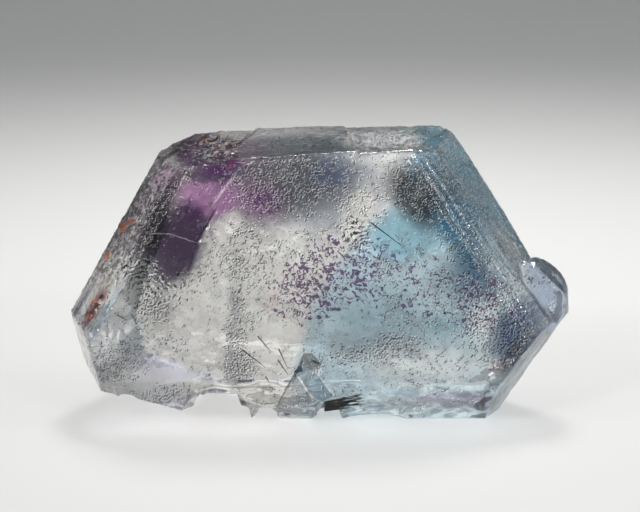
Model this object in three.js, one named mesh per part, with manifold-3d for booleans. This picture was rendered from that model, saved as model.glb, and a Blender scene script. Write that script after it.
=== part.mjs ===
// A loose fluorite crystal: a broad octahedral face in front, bevelled all round, broken off below.
// Millimetres, +Z up, the broad face towards -Y. The origin is under the middle of the crystal.
import * as THREE from "three";
import { ConvexGeometry } from "three/addons/geometries/ConvexGeometry.js";
import { mergeVertices } from "three/addons/utils/BufferGeometryUtils.js";
import Module from "manifold-3d";

const wasm = await Module();
wasm.setup();

// The point inside the crystal from which the distance of every face is measured.
const HEART = new THREE.Vector3(0, 0, 15);

// Every face of the crystal: the azimuth and elevation of its outward normal in degrees
// (azimuth from +X towards +Y, so -90 faces front) and its distance from HEART.
const FACES = {
  front: [-90, 15, 9.3],
  top: [-118, 82.3, 17.45],
  leftUpper: [-161, 32, 23.5],
  rightUpper: [-26, 36, 21.1],
  topLeftCorner: [176, 52, 25.0],
  leftLower: [-165, -14, 30.1],
  rightLower: [-25, -30, 26.4],
  frontUnder: [-90, -35, 15.5],
  leftUnder: [180, -72, 18.3],
  backLeft: [83, 9, 10.7],
  backRight: [70, 2, 11.2],
  leftBack: [150, 20, 23.1],
  rightBack: [35, 17, 21.4],
  leftLowerBack: [160, -24, 27.6],
  rightLowerBack: [20, -36, 24.2],
  backUnder: [90, -40, 16.5],
  base: [0, -90, 15],
};

// Growth layers: each is the crystal with some faces moved out (+) or in (-) by this much.
// Where a layer stops short of an edge it leaves a ledge that runs along that edge.
const GROWTH_LAYERS = [
  { rightUpper: -1.8, leftUpper: -1.1, backLeft: -0.6, backRight: -0.5 },
  { front: -0.4, rightUpper: -1.1, leftUpper: -0.7, top: -0.4, leftBack: -1.6, backUnder: -1.0 },
  { front: -0.8, rightUpper: -0.5, leftUpper: -0.3, top: -0.7, leftBack: -0.8, backLeft: -0.4 },
  { front: -2.2, top: -0.7, rightBack: -0.4, backLeft: -0.9, backRight: -0.8 },
  { front: -1.6, rightUpper: -0.2, top: -0.9, backLeft: -1.0, backRight: -0.3 },
];

// The top is lower on both sides of its middle plate: the plate's end walls, as faces, and each drop.
const TOP_STEPS = [
  { wall: [-14, 0, -9.9], drop: 0.45 },
  { wall: [187, 0, -3.8], drop: 0.3 },
];
const BEYOND = 45;

// The crack that parts the left-hand block of the top from the plate.
const CRACK = {
  ends: [
    [-8.3, 8.5],
    [-12.2, -7.5],
  ],
  width: 0.9,
  depth: 0.8,
};

// Conchoidal bites out of the broken lower edge: centre and half-sizes of the first scoop of each,
// and how many scoops follow one another back into the crystal, each smaller than the last.
const BITES = [
  { at: [-23.2, -12.6, 1.6], half: [2.2, 4.0, 2.6], scoops: 1 },
  { at: [-12.5, -10.4, -0.3], half: [4.5, 5.6, 5.0], scoops: 4 },
  { at: [-6.6, -9.6, -0.6], half: [1.7, 4.4, 2.4], scoops: 3 },
  { at: [0.9, -9.8, -0.7], half: [1.9, 4.2, 3.2], scoops: 2 },
  { at: [6.6, -12.2, -2.0], half: [6.5, 8.0, 3.0], scoops: 1 },
  { at: [14.5, -12.6, -2.6], half: [5.5, 8.0, 3.1], scoops: 1 },
];
const SCOOP_SHRINK = 0.84;
const SCOOP_SPACING = 0.85;
const SCOOP_SWAY = 0.12;
const SCOOP_SEGMENTS = 24;

// The small rounded crystal grown on the right-hand corner.
const KNOB = { at: [26.5, -2.8, 13.5], half: [4.1, 5.2, 5.3] };
const KNOB_FACES = {
  front: [-84, 10, 3.8],
  upper: [-20, 48, 3.9],
  right: [-5, 3, 3.9],
  lower: [-15, -42, 3.9],
  back: [80, 10, 5.0],
  left: [180, 0, 4.5],
};

// The wedge of a second crystal that shows in the middle of the broken edge:
// its outline and its ridge, as X and height, and how far each stands proud.
const WEDGE = {
  outline: [
    [-1.8, 8.8],
    [0.1, 7.5],
    [1.6, 3.2],
    [-1.2, 0.3],
    [-4.1, 0.2],
    [-5.2, 1.6],
    [-2.9, 6.6],
  ],
  ridge: [
    [-2.7, 6.4],
    [-0.9, 2.6],
  ],
  rimProud: 0.3,
  ridgeProud: 0.9,
  depth: 3.5,
};

// The sheaf of dark needles that sticks out of the broken edge beside the wedge.
const SHEAF = {
  root: [0.7, -10.4, 1.9],
  azimuth: -15,
  elevation: 20,
  width: 0.65,
  tipWidth: 0.25,
  clearance: 0.3,
};

// Its needles: how far each starts above or below the middle, its turn in degrees and its length.
const NEEDLES = [
  { lift: -0.5, turn: -5, length: 2.9 },
  { lift: -0.2, turn: 1, length: 4.1 },
  { lift: 0.1, turn: -2, length: 5.0 },
  { lift: 0.35, turn: 4, length: 4.8 },
  { lift: 0.5, turn: 0, length: 3.6 },
];
const NEEDLE_SIDES = 6;

// Tolerances: a corner's three faces are parallel, a point is behind a face, two points are one.
const PARALLEL = 1e-6;
const BEHIND = 1e-5;
const SAME_POINT = 1e-4;

const CRYSTAL_MATERIAL = new THREE.MeshStandardMaterial({
  name: "crystal",
  color: 0xc4d6da,
  roughness: 0.2,
  metalness: 0,
});
const NEEDLE_MATERIAL = new THREE.MeshStandardMaterial({
  name: "needles",
  color: 0x14181a,
  roughness: 0.45,
  metalness: 0,
});

// Directions and planes

function direction(azimuth, elevation) {
  const a = THREE.MathUtils.degToRad(azimuth);
  const e = THREE.MathUtils.degToRad(elevation);
  return new THREE.Vector3(Math.cos(e) * Math.cos(a), Math.cos(e) * Math.sin(a), Math.sin(e));
}

function facePlane([azimuth, elevation, distance]) {
  const normal = direction(azimuth, elevation);
  const foot = HEART.clone().addScaledVector(normal, distance);
  return new THREE.Plane().setFromNormalAndCoplanarPoint(normal, foot);
}

// The point shared by three planes, or null where they have none.
function corner(a, b, c) {
  const bc = b.normal.clone().cross(c.normal);
  const span = a.normal.dot(bc);
  if (Math.abs(span) < PARALLEL) return null;
  const ca = c.normal.clone().cross(a.normal);
  const ab = a.normal.clone().cross(b.normal);
  return bc
    .multiplyScalar(-a.constant)
    .addScaledVector(ca, -b.constant)
    .addScaledVector(ab, -c.constant)
    .divideScalar(span);
}

// The point of the top face at an X and a Y, lifted off the face.
function onTop(x, y, lift) {
  const { normal, constant } = facePlane(FACES.top);
  const z = -(constant + normal.x * x + normal.y * y) / normal.z;
  return new THREE.Vector3(x, y, z + lift);
}

// The point of the front, broad face or broken edge, at an X and a height, standing proud of it.
function onFront(x, z, proud) {
  const depths = [FACES.front, FACES.frontUnder].map((face) => {
    const { normal, constant } = facePlane(face);
    return -(constant + normal.x * x + normal.z * z) / normal.y;
  });
  return new THREE.Vector3(x, Math.max(...depths) - proud, z);
}

// Solids

function solidOf(geometry) {
  const bare = new THREE.BufferGeometry();
  bare.setAttribute("position", geometry.getAttribute("position"));
  if (geometry.index) bare.setIndex(geometry.index);
  const merged = mergeVertices(bare, SAME_POINT);
  return new wasm.Manifold(
    new wasm.Mesh({
      numProp: 3,
      vertProperties: merged.attributes.position.array,
      triVerts: new Uint32Array(merged.index.array),
    }),
  );
}

function geometryOf(solid) {
  const mesh = solid.getMesh();
  const geometry = new THREE.BufferGeometry();
  geometry.setAttribute("position", new THREE.BufferAttribute(mesh.vertProperties, 3));
  geometry.setIndex(new THREE.BufferAttribute(mesh.triVerts, 1));
  geometry.computeVertexNormals();
  return geometry;
}

// The convex solid that lies behind all of these faces.
function facesSolid(faces) {
  const planes = Object.values(faces).map(facePlane);
  const corners = [];
  for (let i = 0; i < planes.length; i++) {
    for (let j = i + 1; j < planes.length; j++) {
      for (let k = j + 1; k < planes.length; k++) {
        const point = corner(planes[i], planes[j], planes[k]);
        if (point && planes.every((plane) => plane.distanceToPoint(point) < BEHIND)) corners.push(point);
      }
    }
  }
  return solidOf(new ConvexGeometry(corners));
}

function ellipsoidSolid({ at, half }) {
  const ball = new THREE.SphereGeometry(1, SCOOP_SEGMENTS, SCOOP_SEGMENTS / 2);
  ball.scale(...half);
  ball.translate(...at);
  return solidOf(ball);
}

// Parts of the crystal

function growthLayer(offsets) {
  const moved = {};
  for (const [name, [azimuth, elevation, distance]] of Object.entries(FACES)) {
    moved[name] = [azimuth, elevation, distance + (offsets[name] ?? 0)];
  }
  return facesSolid(moved);
}

// What is missing above the lowered part of the top, as far as the plate's end wall.
function topStepSolid({ wall, drop }) {
  const [azimuth, elevation, distance] = FACES.top;
  return facesSolid({
    wall,
    floor: [azimuth + 180, -elevation, drop - distance],
    left: [180, 0, BEYOND],
    right: [0, 0, BEYOND],
    front: [-90, 0, BEYOND],
    back: [90, 0, BEYOND],
    above: [0, 90, BEYOND],
  });
}

function crackSolid({ ends, width, depth }) {
  const corners = ends.flatMap(([x, y]) => [
    onTop(x - width, y, width),
    onTop(x + width, y, width),
    onTop(x, y, -depth),
  ]);
  return solidOf(new ConvexGeometry(corners));
}

// A bite runs back as a row of scoops that sway from side to side.
function biteSolid({ at: [x, y, z], half, scoops }) {
  let bite = ellipsoidSolid({ at: [x, y, z], half });
  let behind = y;
  for (let scoop = 1; scoop < scoops; scoop++) {
    const smaller = half.map((size) => size * SCOOP_SHRINK ** scoop);
    const side = scoop % 2 ? SCOOP_SWAY : -SCOOP_SWAY;
    behind += smaller[1] * SCOOP_SPACING;
    bite = bite.add(ellipsoidSolid({ at: [x + half[0] * side, behind, z], half: smaller }));
  }
  return bite;
}

// The knob's faces are measured from its own middle.
function knobSolid() {
  const fromHeart = new THREE.Vector3(...KNOB.at).sub(HEART);
  const facets = {};
  for (const [name, [azimuth, elevation, distance]] of Object.entries(KNOB_FACES)) {
    facets[name] = [azimuth, elevation, distance + fromHeart.dot(direction(azimuth, elevation))];
  }
  return facesSolid(facets).intersect(ellipsoidSolid(KNOB));
}

function wedgeSolid({ outline, ridge, rimProud, ridgeProud, depth }) {
  const rim = outline.map(([x, z]) => onFront(x, z, rimProud));
  const crest = ridge.map(([x, z]) => onFront(x, z, ridgeProud));
  const inside = outline.map(([x, z]) => onFront(x, z, -depth));
  return solidOf(new ConvexGeometry([...rim, ...crest, ...inside]));
}

// One needle of the sheaf, grown all round where it makes the groove that holds it.
function needleSolid({ lift, turn, length }, growth) {
  const { root, azimuth, elevation, width, tipWidth } = SHEAF;
  const needle = new THREE.CylinderGeometry(
    tipWidth / 2 + growth,
    width / 2 + growth,
    length + 2 * growth,
    NEEDLE_SIDES,
  );
  needle.translate(0, length / 2, 0);
  needle.rotateX(Math.PI / 2);
  needle.rotateY(THREE.MathUtils.degToRad(90 - elevation - turn));
  needle.rotateZ(THREE.MathUtils.degToRad(azimuth));
  needle.translate(root[0], root[1], root[2] + lift);
  return solidOf(needle);
}

function sheafSolid(growth) {
  return NEEDLES.map((needle) => needleSolid(needle, growth)).reduce((sheaf, needle) => sheaf.add(needle));
}

function crystalSolid() {
  let crystal = GROWTH_LAYERS.map(growthLayer).reduce((sum, layer) => sum.add(layer));
  for (const step of TOP_STEPS) crystal = crystal.subtract(topStepSolid(step));
  crystal = crystal.subtract(crackSolid(CRACK)).add(wedgeSolid(WEDGE));
  for (const bite of BITES) crystal = crystal.subtract(biteSolid(bite));
  return crystal.add(knobSolid()).subtract(sheafSolid(SHEAF.clearance));
}

// The specimen

const crystal = new THREE.Mesh(geometryOf(crystalSolid()), CRYSTAL_MATERIAL);
crystal.name = "crystal";

const needles = new THREE.Mesh(geometryOf(sheafSolid(0)), NEEDLE_MATERIAL);
needles.name = "needle_sheaf";

const specimen = new THREE.Group();
specimen.add(crystal, needles);

const box = new THREE.Box3().setFromObject(specimen);
const middle = box.getCenter(new THREE.Vector3());
specimen.position.set(-middle.x, -middle.y, -box.min.z);

export default specimen;
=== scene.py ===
"""The looks of a loose fluorite crystal: its etched, colour-zoned skin and its dark needles.

Laid out as an add-on, and run as a script.
"""

import math
import random
from collections import namedtuple

import bmesh
import bpy
from bpy.props import FloatProperty, FloatVectorProperty, IntProperty, PointerProperty
from mathutils import Color, Matrix, Vector, noise
from mathutils.bvhtree import BVHTree


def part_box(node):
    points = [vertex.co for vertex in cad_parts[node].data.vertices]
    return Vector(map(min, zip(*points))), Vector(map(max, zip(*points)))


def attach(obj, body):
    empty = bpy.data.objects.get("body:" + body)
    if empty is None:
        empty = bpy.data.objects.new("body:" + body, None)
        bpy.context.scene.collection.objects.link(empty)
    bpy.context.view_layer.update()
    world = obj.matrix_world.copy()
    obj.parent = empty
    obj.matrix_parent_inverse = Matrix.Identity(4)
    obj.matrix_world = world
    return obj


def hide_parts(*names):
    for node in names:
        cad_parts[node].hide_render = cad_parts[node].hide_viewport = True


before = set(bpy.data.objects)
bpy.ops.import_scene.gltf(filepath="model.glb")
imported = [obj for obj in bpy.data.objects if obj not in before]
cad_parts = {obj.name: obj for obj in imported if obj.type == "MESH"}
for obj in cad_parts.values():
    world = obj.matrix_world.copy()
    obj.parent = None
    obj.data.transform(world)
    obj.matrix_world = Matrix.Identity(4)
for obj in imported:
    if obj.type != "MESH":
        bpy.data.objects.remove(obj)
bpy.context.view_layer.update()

bl_info = {
    "name": "Fluorite Crystal",
    "version": (1, 0, 0),
    "blender": (4, 5, 0),
    "location": "View3D > Sidebar > Fluorite",
    "description": "Dresses a fluorite crystal with an etched skin, colour zones and needles",
    "category": "Object",
}

MM = 0.001
BODY = "root"
CRYSTAL, SHEAF, INCLUDED = PIECES = ("fluorite_crystal", "needle_sheaf_fine", "needle_inclusions")

# The colour zones are measured square to the view, which is tilted by this much:
# right, away and up in millimetres. A zone without a depth reaches through the crystal.
VIEW_TILT = math.radians(12.0)
THROUGH = 1000.0

# The outward directions of the crystal's main faces, as azimuth and elevation in degrees.
FACE_DIRECTIONS = {
    "front": (-90, 15),
    "top": (-118, 82),
    "left_bevel": (-161, 32),
    "right_bevel": (-26, 36),
    "front_under": (-90, -35),
}
SAME_FACE = 0.93
FACE_BLEND = (0.90, 0.97)
FRONT_FACING = 0.9

# How each face is etched: heights and widths in millimetres of its swells,
# its winding ridges and its grains.
Etching = namedtuple("Etching", "swell swell_width ridge ridge_width grain grain_width")
ETCHINGS = {
    "front": Etching(0.10, 4.5, 0.055, 0.8, 0.0, 1.0),
    "top": Etching(0.06, 4.0, 0.060, 0.9, 0.02, 0.8),
    "left_bevel": Etching(0.06, 3.0, 0.030, 0.9, 0.20, 0.9),
    "right_bevel": Etching(0.07, 4.0, 0.060, 0.8, 0.04, 0.7),
    "front_under": Etching(0.40, 3.2, 0.050, 0.9, 0.0, 1.0),
    "elsewhere": Etching(0.10, 5.0, 0.045, 1.0, 0.0, 1.0),
}
SWELL_OCTAVES = 3
RIDGE_SEED = 3
RIDGE_SHARPNESS = 3.2
RIDGE_SINK = 0.4
RIDGE_BEND = 0.5
RIDGE_BEND_WIDTH = 2.4
GRAIN_SINK = 0.5

# The etching fades out over these heights above the base, in millimetres.
BASE_BLEND = (1.0, 0.1)
MERGE_DISTANCE = 0.001 * MM

# Cracks in the broad face: both ends (right, up), width and depth in millimetres.
Crack = namedtuple("Crack", "start end width depth")
CRACKS = (
    Crack((-10.2, 27.5), (-12.7, 24.1), 0.35, 0.18),
    Crack((-12.3, 23.5), (-14.6, 19.5), 0.30, 0.22),
    Crack((-14.6, 19.5), (-17.4, 14.6), 0.25, 0.12),
)

# Colour zones from the first laid to the last. Each has a middle and half-sizes (right, up),
# the lean of its top to the right in degrees, the softness of its edge and how strongly it covers.
# A depth is the middle and half-depth of a zone that doesn't run right through the crystal.
Zone = namedtuple("Zone", "colour at half lean edge cover depth", defaults=(None,))
FRONT = (-13.4, 5.0)
SIDES = (-7.0, 9.0)
TOP = (-4.0, 14.0)
ZONES = (
    Zone("haze", (2.3, 25.2), (7.44, 4.80), -12, 0.5, 0.75),
    Zone("grey", (-8.9, 24.5), (4.80, 4.32), 10, 0.6, 0.6),
    Zone("grey", (-4.6, 26.9), (8.80, 4.50), 0, 0.5, 0.9),
    Zone("ink_blue", (1.6, 28.1), (2.16, 2.16), 0, 0.7, 0.4),
    Zone("cream_pale", (4.9, 23.0), (1.80, 3.40), 24, 0.5, 0.4),
    Zone("pale_blue", (11.0, 20.4), (5.40, 3.10), -14, 0.4, 0.75),
    Zone("pale_blue", (7.3, 10.4), (4.80, 3.12), 0, 0.7, 0.35),
    Zone("teal", (17.2, 21.9), (2.88, 7.68), -32, 0.45, 0.9),
    Zone("teal", (19.3, 15.5), (4.08, 3.36), -20, 0.6, 0.65),
    Zone("slate", (11.7, 25.1), (2.50, 4.40), -30, 0.5, 0.92),
    Zone("teal", (13.3, 29.3), (3.12, 1.68), 0, 0.6, 0.6),
    Zone("ink_blue", (24.1, 8.0), (2.88, 4.32), 22, 0.35, 0.9),
    Zone("frost", (20.3, 9.5), (1.32, 2.76), 10, 0.5, 0.75),
    Zone("lake", (6.6, 6.8), (4.80, 1.32), -8, 0.6, 0.6),
    Zone("frost", (13.5, 4.4), (7.68, 2.04), 0, 0.6, 0.85),
    Zone("lake", (9.3, 7.4), (2.64, 1.08), 30, 0.6, 0.75, FRONT),
    Zone("lake", (4.3, 6.3), (2.16, 0.84), -30, 0.7, 0.6, FRONT),
    Zone("pale_blue", (15.1, 9.4), (3.12, 1.08), -10, 0.5, 0.5),
    Zone("frost", (10.9, 4.6), (4.80, 0.72), 4, 0.5, 0.9, FRONT),
    Zone("mauve", (-8.0, 24.6), (3.40, 2.60), 20, 0.7, 0.4),
    Zone("violet", (-5.9, 24.8), (1.20, 1.08), 0, 0.7, 0.5, FRONT),
    Zone("mauve", (-13.5, 24.8), (4.08, 3.36), 20, 0.4, 0.88),
    Zone("mauve", (-14.3, 24.5), (2.88, 2.40), 20, 0.5, 0.6, FRONT),
    Zone("violet", (-12.0, 26.5), (0.84, 0.96), 0, 0.6, 0.4, FRONT),
    Zone("violet", (-17.3, 19.3), (3.60, 5.28), 22, 0.25, 0.92),
    Zone("violet", (-16.9, 18.9), (3.12, 4.56), 20, 0.35, 0.7, FRONT),
    Zone("grey", (-13.5, 27.4), (3.84, 0.60), 0, 0.45, 0.85),
    Zone("purple", (-13.6, 30.5), (4.90, 2.90), 10, 0.25, 0.97),
    Zone("lake", (-3.0, 31.3), (7.20, 1.40), 0, 0.3, 0.75),
    Zone("mauve", (-8.0, 30.8), (2.16, 1.44), 0, 0.7, 0.6),
    Zone("umber", (-19.9, 22.5), (1.08, 6.00), 28, 0.5, 0.93, FRONT),
    Zone("umber", (-18.5, 23.8), (1.32, 4.56), 28, 0.5, 0.9, FRONT),
    Zone("umber", (-20.3, 20.2), (1.20, 2.16), 30, 0.6, 0.7, FRONT),
    Zone("bevel_pale", (21.7, 22.7), (2.64, 9.60), -31, 0.4, 0.85),
    Zone("sea", (17.2, 29.6), (2.40, 3.12), -25, 0.5, 0.75),
    Zone("frost", (22.9, 17.2), (2.04, 4.80), -40, 0.5, 0.95),
    Zone("knob_lilac", (27.9, 13.5), (2.88, 4.80), 0, 0.4, 0.85),
    Zone("milk", (7.6, 31.7), (4.80, 1.44), 0, 0.4, 0.85, TOP),
    Zone("sea", (14.1, 32.2), (2.16, 1.20), 0, 0.5, 0.8, TOP),
    # Painted shadows: small grey patches on the broad face.
    Zone("painted_grey_shadow", (-19.5, 12.1), (2.04, 2.16), 0, 0.7, 0.7, FRONT),
    Zone("painted_grey_shadow", (-24.1, 4.4), (3.12, 1.92), -20, 0.8, 0.4, FRONT),
    Zone("painted_grey_shadow", (-20.3, 15.9), (3.12, 1.92), 25, 0.8, 0.45, FRONT),
    Zone("painted_grey_shadow", (-9.9, 9.5), (0.96, 7.20), 0, 0.8, 0.6, FRONT),
    Zone("painted_grey_shadow", (-9.5, 4.7), (1.60, 1.68), 0, 0.8, 0.8, FRONT),
    Zone("milk", (-24.1, 4.4), (3.60, 2.16), -20, 0.6, 0.7),
    Zone("blush", (-5.3, 12.3), (0.60, 1.56), 25, 0.7, 0.45, FRONT),
    Zone("lip_grey", (16.5, 0.3), (6.48, 1.56), 4, 0.4, 0.8, FRONT),
    Zone("cream_pale", (-7.7, 1.1), (4.08, 1.20), 0, 0.5, 0.8, FRONT),
)

# Zones whose edges don't wander: the violet's edge along a crack, cracks, stripes and stains.
SHARP_ZONES = (
    Zone("clear", (-12.1, 18.5), (2.16, 5.04), 24, 0.12, 0.7),
    Zone("crack_dark", (-13.5, 21.5), (0.13, 2.40), 30, 0.5, 0.95, FRONT),
    Zone("crack_dark", (-15.1, 17.8), (0.11, 1.68), 16, 0.6, 0.8, FRONT),
    Zone("painted_highlight_and_pale_line", (-11.4, 25.8), (0.16, 2.16), 36, 0.6, 0.95, FRONT),
    Zone("painted_highlight_and_pale_line", (-19.1, 20.5), (1.44, 0.07), 0, 0.6, 0.8, FRONT),
    Zone("painted_highlight_and_pale_line", (-16.4, 20.0), (1.56, 0.07), 18, 0.6, 0.7, FRONT),
    Zone("crack_dark", (-7.5, 2.1), (4.20, 0.07), 0, 0.6, 0.6, FRONT),
    Zone("teal", (19.2, 21.1), (0.22, 3.24), -32, 0.6, 0.85, SIDES),
    Zone("teal", (23.5, 15.7), (0.22, 3.84), -43, 0.6, 0.85, SIDES),
    Zone("teal", (21.5, 20.1), (0.19, 4.56), -25, 0.6, 0.7, SIDES),
    Zone("grain_dark", (-24.0, 22.4), (0.54, 6.72), 30, 0.6, 0.5, SIDES),
    Zone("light_stripe", (-25.5, 11.0), (0.55, 5.20), 27, 0.4, 0.85, SIDES),
    Zone("red_stripe", (-27.0, 11.5), (0.95, 3.70), 31, 0.3, 0.97, SIDES),
    Zone("fleck", (-29.6, 11.2), (0.36, 4.08), 32, 0.6, 0.85, SIDES),
    Zone("rust", (-24.0, 21.4), (0.48, 0.72), 20, 0.5, 0.97, SIDES),
    Zone("rust", (-22.9, 22.0), (0.48, 0.30), 0, 0.5, 0.9, SIDES),
    Zone("rust", (-26.0, 17.9), (0.36, 0.60), 20, 0.5, 0.95, SIDES),
    Zone("brown", (-9.9, 31.8), (0.26, 2.60), 52, 0.5, 0.95),
    Zone("brown", (-17.3, 31.0), (0.30, 2.60), 52, 0.5, 0.95),
    # A small grey painted shadow low on the broad face.
    Zone("painted_grey_shadow", (-1.4, 0.4), (0.96, 0.72), 0, 0.6, 0.6, FRONT),
    Zone("painted_highlight_and_pale_line", (-1.9, 2.5), (0.10, 1.75), -34, 0.6, 0.9, FRONT),
    Zone("crack_dark", (-4.0, 1.7), (0.11, 2.45), 28, 0.6, 0.85, FRONT),
    Zone("painted_highlight_and_pale_line", (0.8, 2.4), (0.09, 1.70), -35, 0.6, 0.85, FRONT),
    # Painted highlights along the edges of the top's plate and along the top edge of the broad
    # face.
    Zone("painted_highlight_and_pale_line", (2.7, 31.7), (0.11, 1.32), -37, 0.6, 0.9, TOP),
    Zone("painted_highlight_and_pale_line", (-3.9, 29.9), (7.20, 0.08), -4, 0.6, 0.7, TOP),
    Zone("violet", (7.6, -0.4), (3.20, 0.50), 0, 0.7, 0.6, FRONT),
    Zone("violet", (19.1, 0.6), (3.40, 0.80), 4, 0.8, 0.5, FRONT),
)

# Facets of the second crystal in the broken edge: colour and corners (right, up), clockwise.
# Each facet is painted a flat tone of its own as light falls on it: painted light and shade,
# lighter on the left facet, darker on the upper one, blue on the right one.
Facet = namedtuple("Facet", "colour corners")
FACETS = (
    Facet(
        "wedge_lit_grey",
        ((-2.9, 3.9), (-0.9, 1.0), (-1.2, -1.3), (-4.1, -1.5), (-5.1, -0.4), (-3.7, 2.5)),
    ),
    Facet(
        "wedge_blue",
        ((-2.9, 3.9), (-2.4, 4.9), (-0.2, 3.8), (1.7, 1.0), (0.5, 0.3), (-0.9, 1.0)),
    ),
    Facet("wedge_shaded_grey", ((-2.4, 4.9), (-1.8, 6.2), (-0.8, 6.2), (0.3, 4.9), (-0.2, 3.8))),
)
FACET_EDGE = 0.08
FACET_COVER = 0.85
FACET_DEPTH = (sum(FRONT) + 1.5, sum(FRONT) - 0.5)

# How edges wander: waves per millimetre and their reach in millimetres.
BROAD_WAVES = (0.25, 1.6)
SMALL_WAVES = (1.3, 0.9)
STEADY_WAVES = (1.3, 0.3)
PATCH_WAVES = (0.9, 2.4)
WAVE_DETAIL = 1.5

# Clouds of small purple flecks: middle, half-sizes, lean and how densely they lie.
Cloud = namedtuple("Cloud", "at half lean density depth", defaults=(FRONT,))
CLOUD_EDGE = 0.6
FLECK_CLOUDS = (
    Cloud((1.3, 15.4), (8.9, 5.3), -25, 1.0),
    Cloud((19.8, 12.8), (5.8, 5.0), -20, 0.92),
    Cloud((10.3, 14.3), (9.6, 6.2), 0, 0.7),
    Cloud((7.8, 31.9), (4.6, 1.2), 0, 0.9, TOP),
    Cloud((-6.8, 24.3), (2.9, 2.6), 0, 0.85),
)

# A fleck is where the noise passes a level, which falls from no cloud to the densest.
FLECK_SCALE = 1.5
FLECK_DETAIL = 4.0
FLECK_TWIST = 1.4
FLECK_SQUAT = 0.5
FLECK_LEVELS = (0.80, 0.505)
FLECK_EDGE = 0.03
FLECK_COVER = 0.97

# Clumps of grey mottling: scale, range, least and most etching, and how strongly they cover.
MOTTLE_SCALE = 0.45
MOTTLE_RANGE = (0.42, 0.62)
MOTTLE_ETCH = (0.10, 0.6)
MOTTLE_COVER = 0.5

# Where the etching is strongest, and where it is nearly smooth.
ETCH_CLOUDS = (
    Cloud((13.5, 4.4), (7.2, 2.2), 0, 0.45),
    Cloud((-18.5, 15.5), (6.0, 4.8), 0, 0.75),
    Cloud((7.8, 31.9), (5.3, 1.7), 0, 1.0, TOP),
    Cloud((-4.1, 31.3), (7.7, 1.7), 0, 0.6, TOP),
    Cloud((-12.5, 30.8), (4.8, 2.4), 0, 0.7, TOP),
    Cloud((-4.2, 26.7), (8.4, 4.1), 0, 0.85),
    Cloud((-20.3, 15.4), (4.1, 3.1), 25, 1.0),
    Cloud((-19.7, 11.9), (2.6, 2.4), 0, 1.0),
    Cloud((-9.9, 8.9), (1.6, 7.0), 0, 0.85),
    Cloud((-9.5, 4.7), (2.2, 2.2), 0, 1.0),
    Cloud((-24.1, 5.1), (3.8, 2.9), -20, 0.9),
    Cloud((-17.9, 0.8), (4.3, 1.6), 0, 0.9),
    Cloud((11.7, 25.0), (3.8, 4.8), -24, 0.95),
    Cloud((17.2, 21.9), (4.1, 8.4), -32, 0.75),
    Cloud((22.3, 9.5), (6.0, 6.0), 0, 0.85),
    Cloud((6.4, 6.8), (6.5, 2.2), -8, 0.9),
    Cloud((4.3, 20.9), (2.4, 1.9), 30, 1.0),
    Cloud((-20.0, 22.3), (1.9, 6.0), 28, 0.75),
    Cloud((4.6, 24.2), (3.0, 4.2), 20, 0.65),
    Cloud((-8.9, 17.9), (3.6, 4.8), 20, 0.8),
    Cloud((18.1, 12.5), (6.0, 4.8), 0, 0.6),
)
CALM_CLOUDS = (
    Cloud((10.2, 20.7), (3.8, 2.9), -10, 0.55),
    Cloud((-16.0, 20.6), (2.9, 6.0), 25, 0.85),
    Cloud((3.1, 9.5), (4.3, 2.6), 0, 0.7),
    Cloud((-13.7, 11.3), (3.4, 2.6), 0, 0.55),
    Cloud((-4.1, 7.1), (2.9, 2.6), 0, 0.5),
)

# Ripples in rings, shown through the strokes' painted highlight and shade: middle of the rings
# (right, up), then the patch that shows them.
Ripple = namedtuple("Ripple", "middle patch")
RIPPLES = (
    Ripple((-20.9, 12.2), Cloud((-20.2, 15.6), (4.0, 2.4), 30, 1.0)),
    Ripple((6.6, 16.4), Cloud((4.4, 20.4), (2.4, 1.9), 30, 1.0)),
)
RIPPLE_WIDTH = 0.6
RIPPLE_TWIST = 9.0
RIPPLE_DETAIL = 2.0
RIPPLE_DETAIL_SCALE = 1.5
RIPPLE_STRENGTH = 0.34

# Roughness of the skin: by its mottling, less on the top, more on its grains.
# Dull patches have a middle, half-sizes, a lean and the roughness that they add.
ROUGHNESS = (0.08, 0.20)
ROUGH_RANGE = (0.35, 0.7)
TOP_STARTS = (28.5, 30.5)
TOP_SMOOTH = 0.3
GRAIN_ROUGHNESS = 0.1
DULL_PATCHES = (
    Cloud((7.9, 31.9), (5.0, 1.3), 0, 0.40, TOP),
    Cloud((-19.5, 2.0), (4.5, 2.4), -12, 0.40),
)

# Etch strokes run along the middle of a noise, broken where a wider noise falls below a level
# that sinks with their density. The slope towards the light parts lit strokes, which are painted
# highlight, from shaded ones, which are painted shade.
STROKE_SCALE = 3.9
STROKE_DETAIL = 1.5
STROKE_TWIST = 0.6
STROKE_WIDTH = 0.13
STROKE_CORE = 0.4
STROKE_SQUAT = 0.3
STROKE_BREAKS = 0.5
BREAK_LEVEL = 0.69
BREAK_BY_DENSITY = -0.36
BREAK_EDGE = 0.07
LIT_FROM = (-0.03, 0.0, 0.03)
LIT_SLOPE = (0.015, 0.04)
SHADED_SLOPE = (0.005, -0.02)
LIT_COVER = 0.9
RELIEF_STRENGTH = 0.8

# The blue side starts where (right - middle) passes reach * tanh((up - level) / rise).
# Its edge turns from soft to sharp over the climb above the level.
BLUE_EDGE = {"middle": 5.0, "reach": 7.5, "level": 19.5, "rise": 8.0, "soft": 1.2, "sharp": 0.3}
BLUE_CLIMB = (-4.0, 2.0)

# Milky clouds of the clear part: scale, detail and range.
MILK_SCALE = 0.22
MILK_DETAIL = 3.0
MILK_RANGE = (0.4, 0.65)

# Cells of crusts and granules: how many to a millimetre, and the share of depth that keeps
# them from being thinned on a face seen aslant.
GRAIN_CELLS = (2.6, 0.45)
GRANULE_CELLS = (2.4, 0.2)
SPECKLE_CELLS = (3.2, 0.5)

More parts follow.
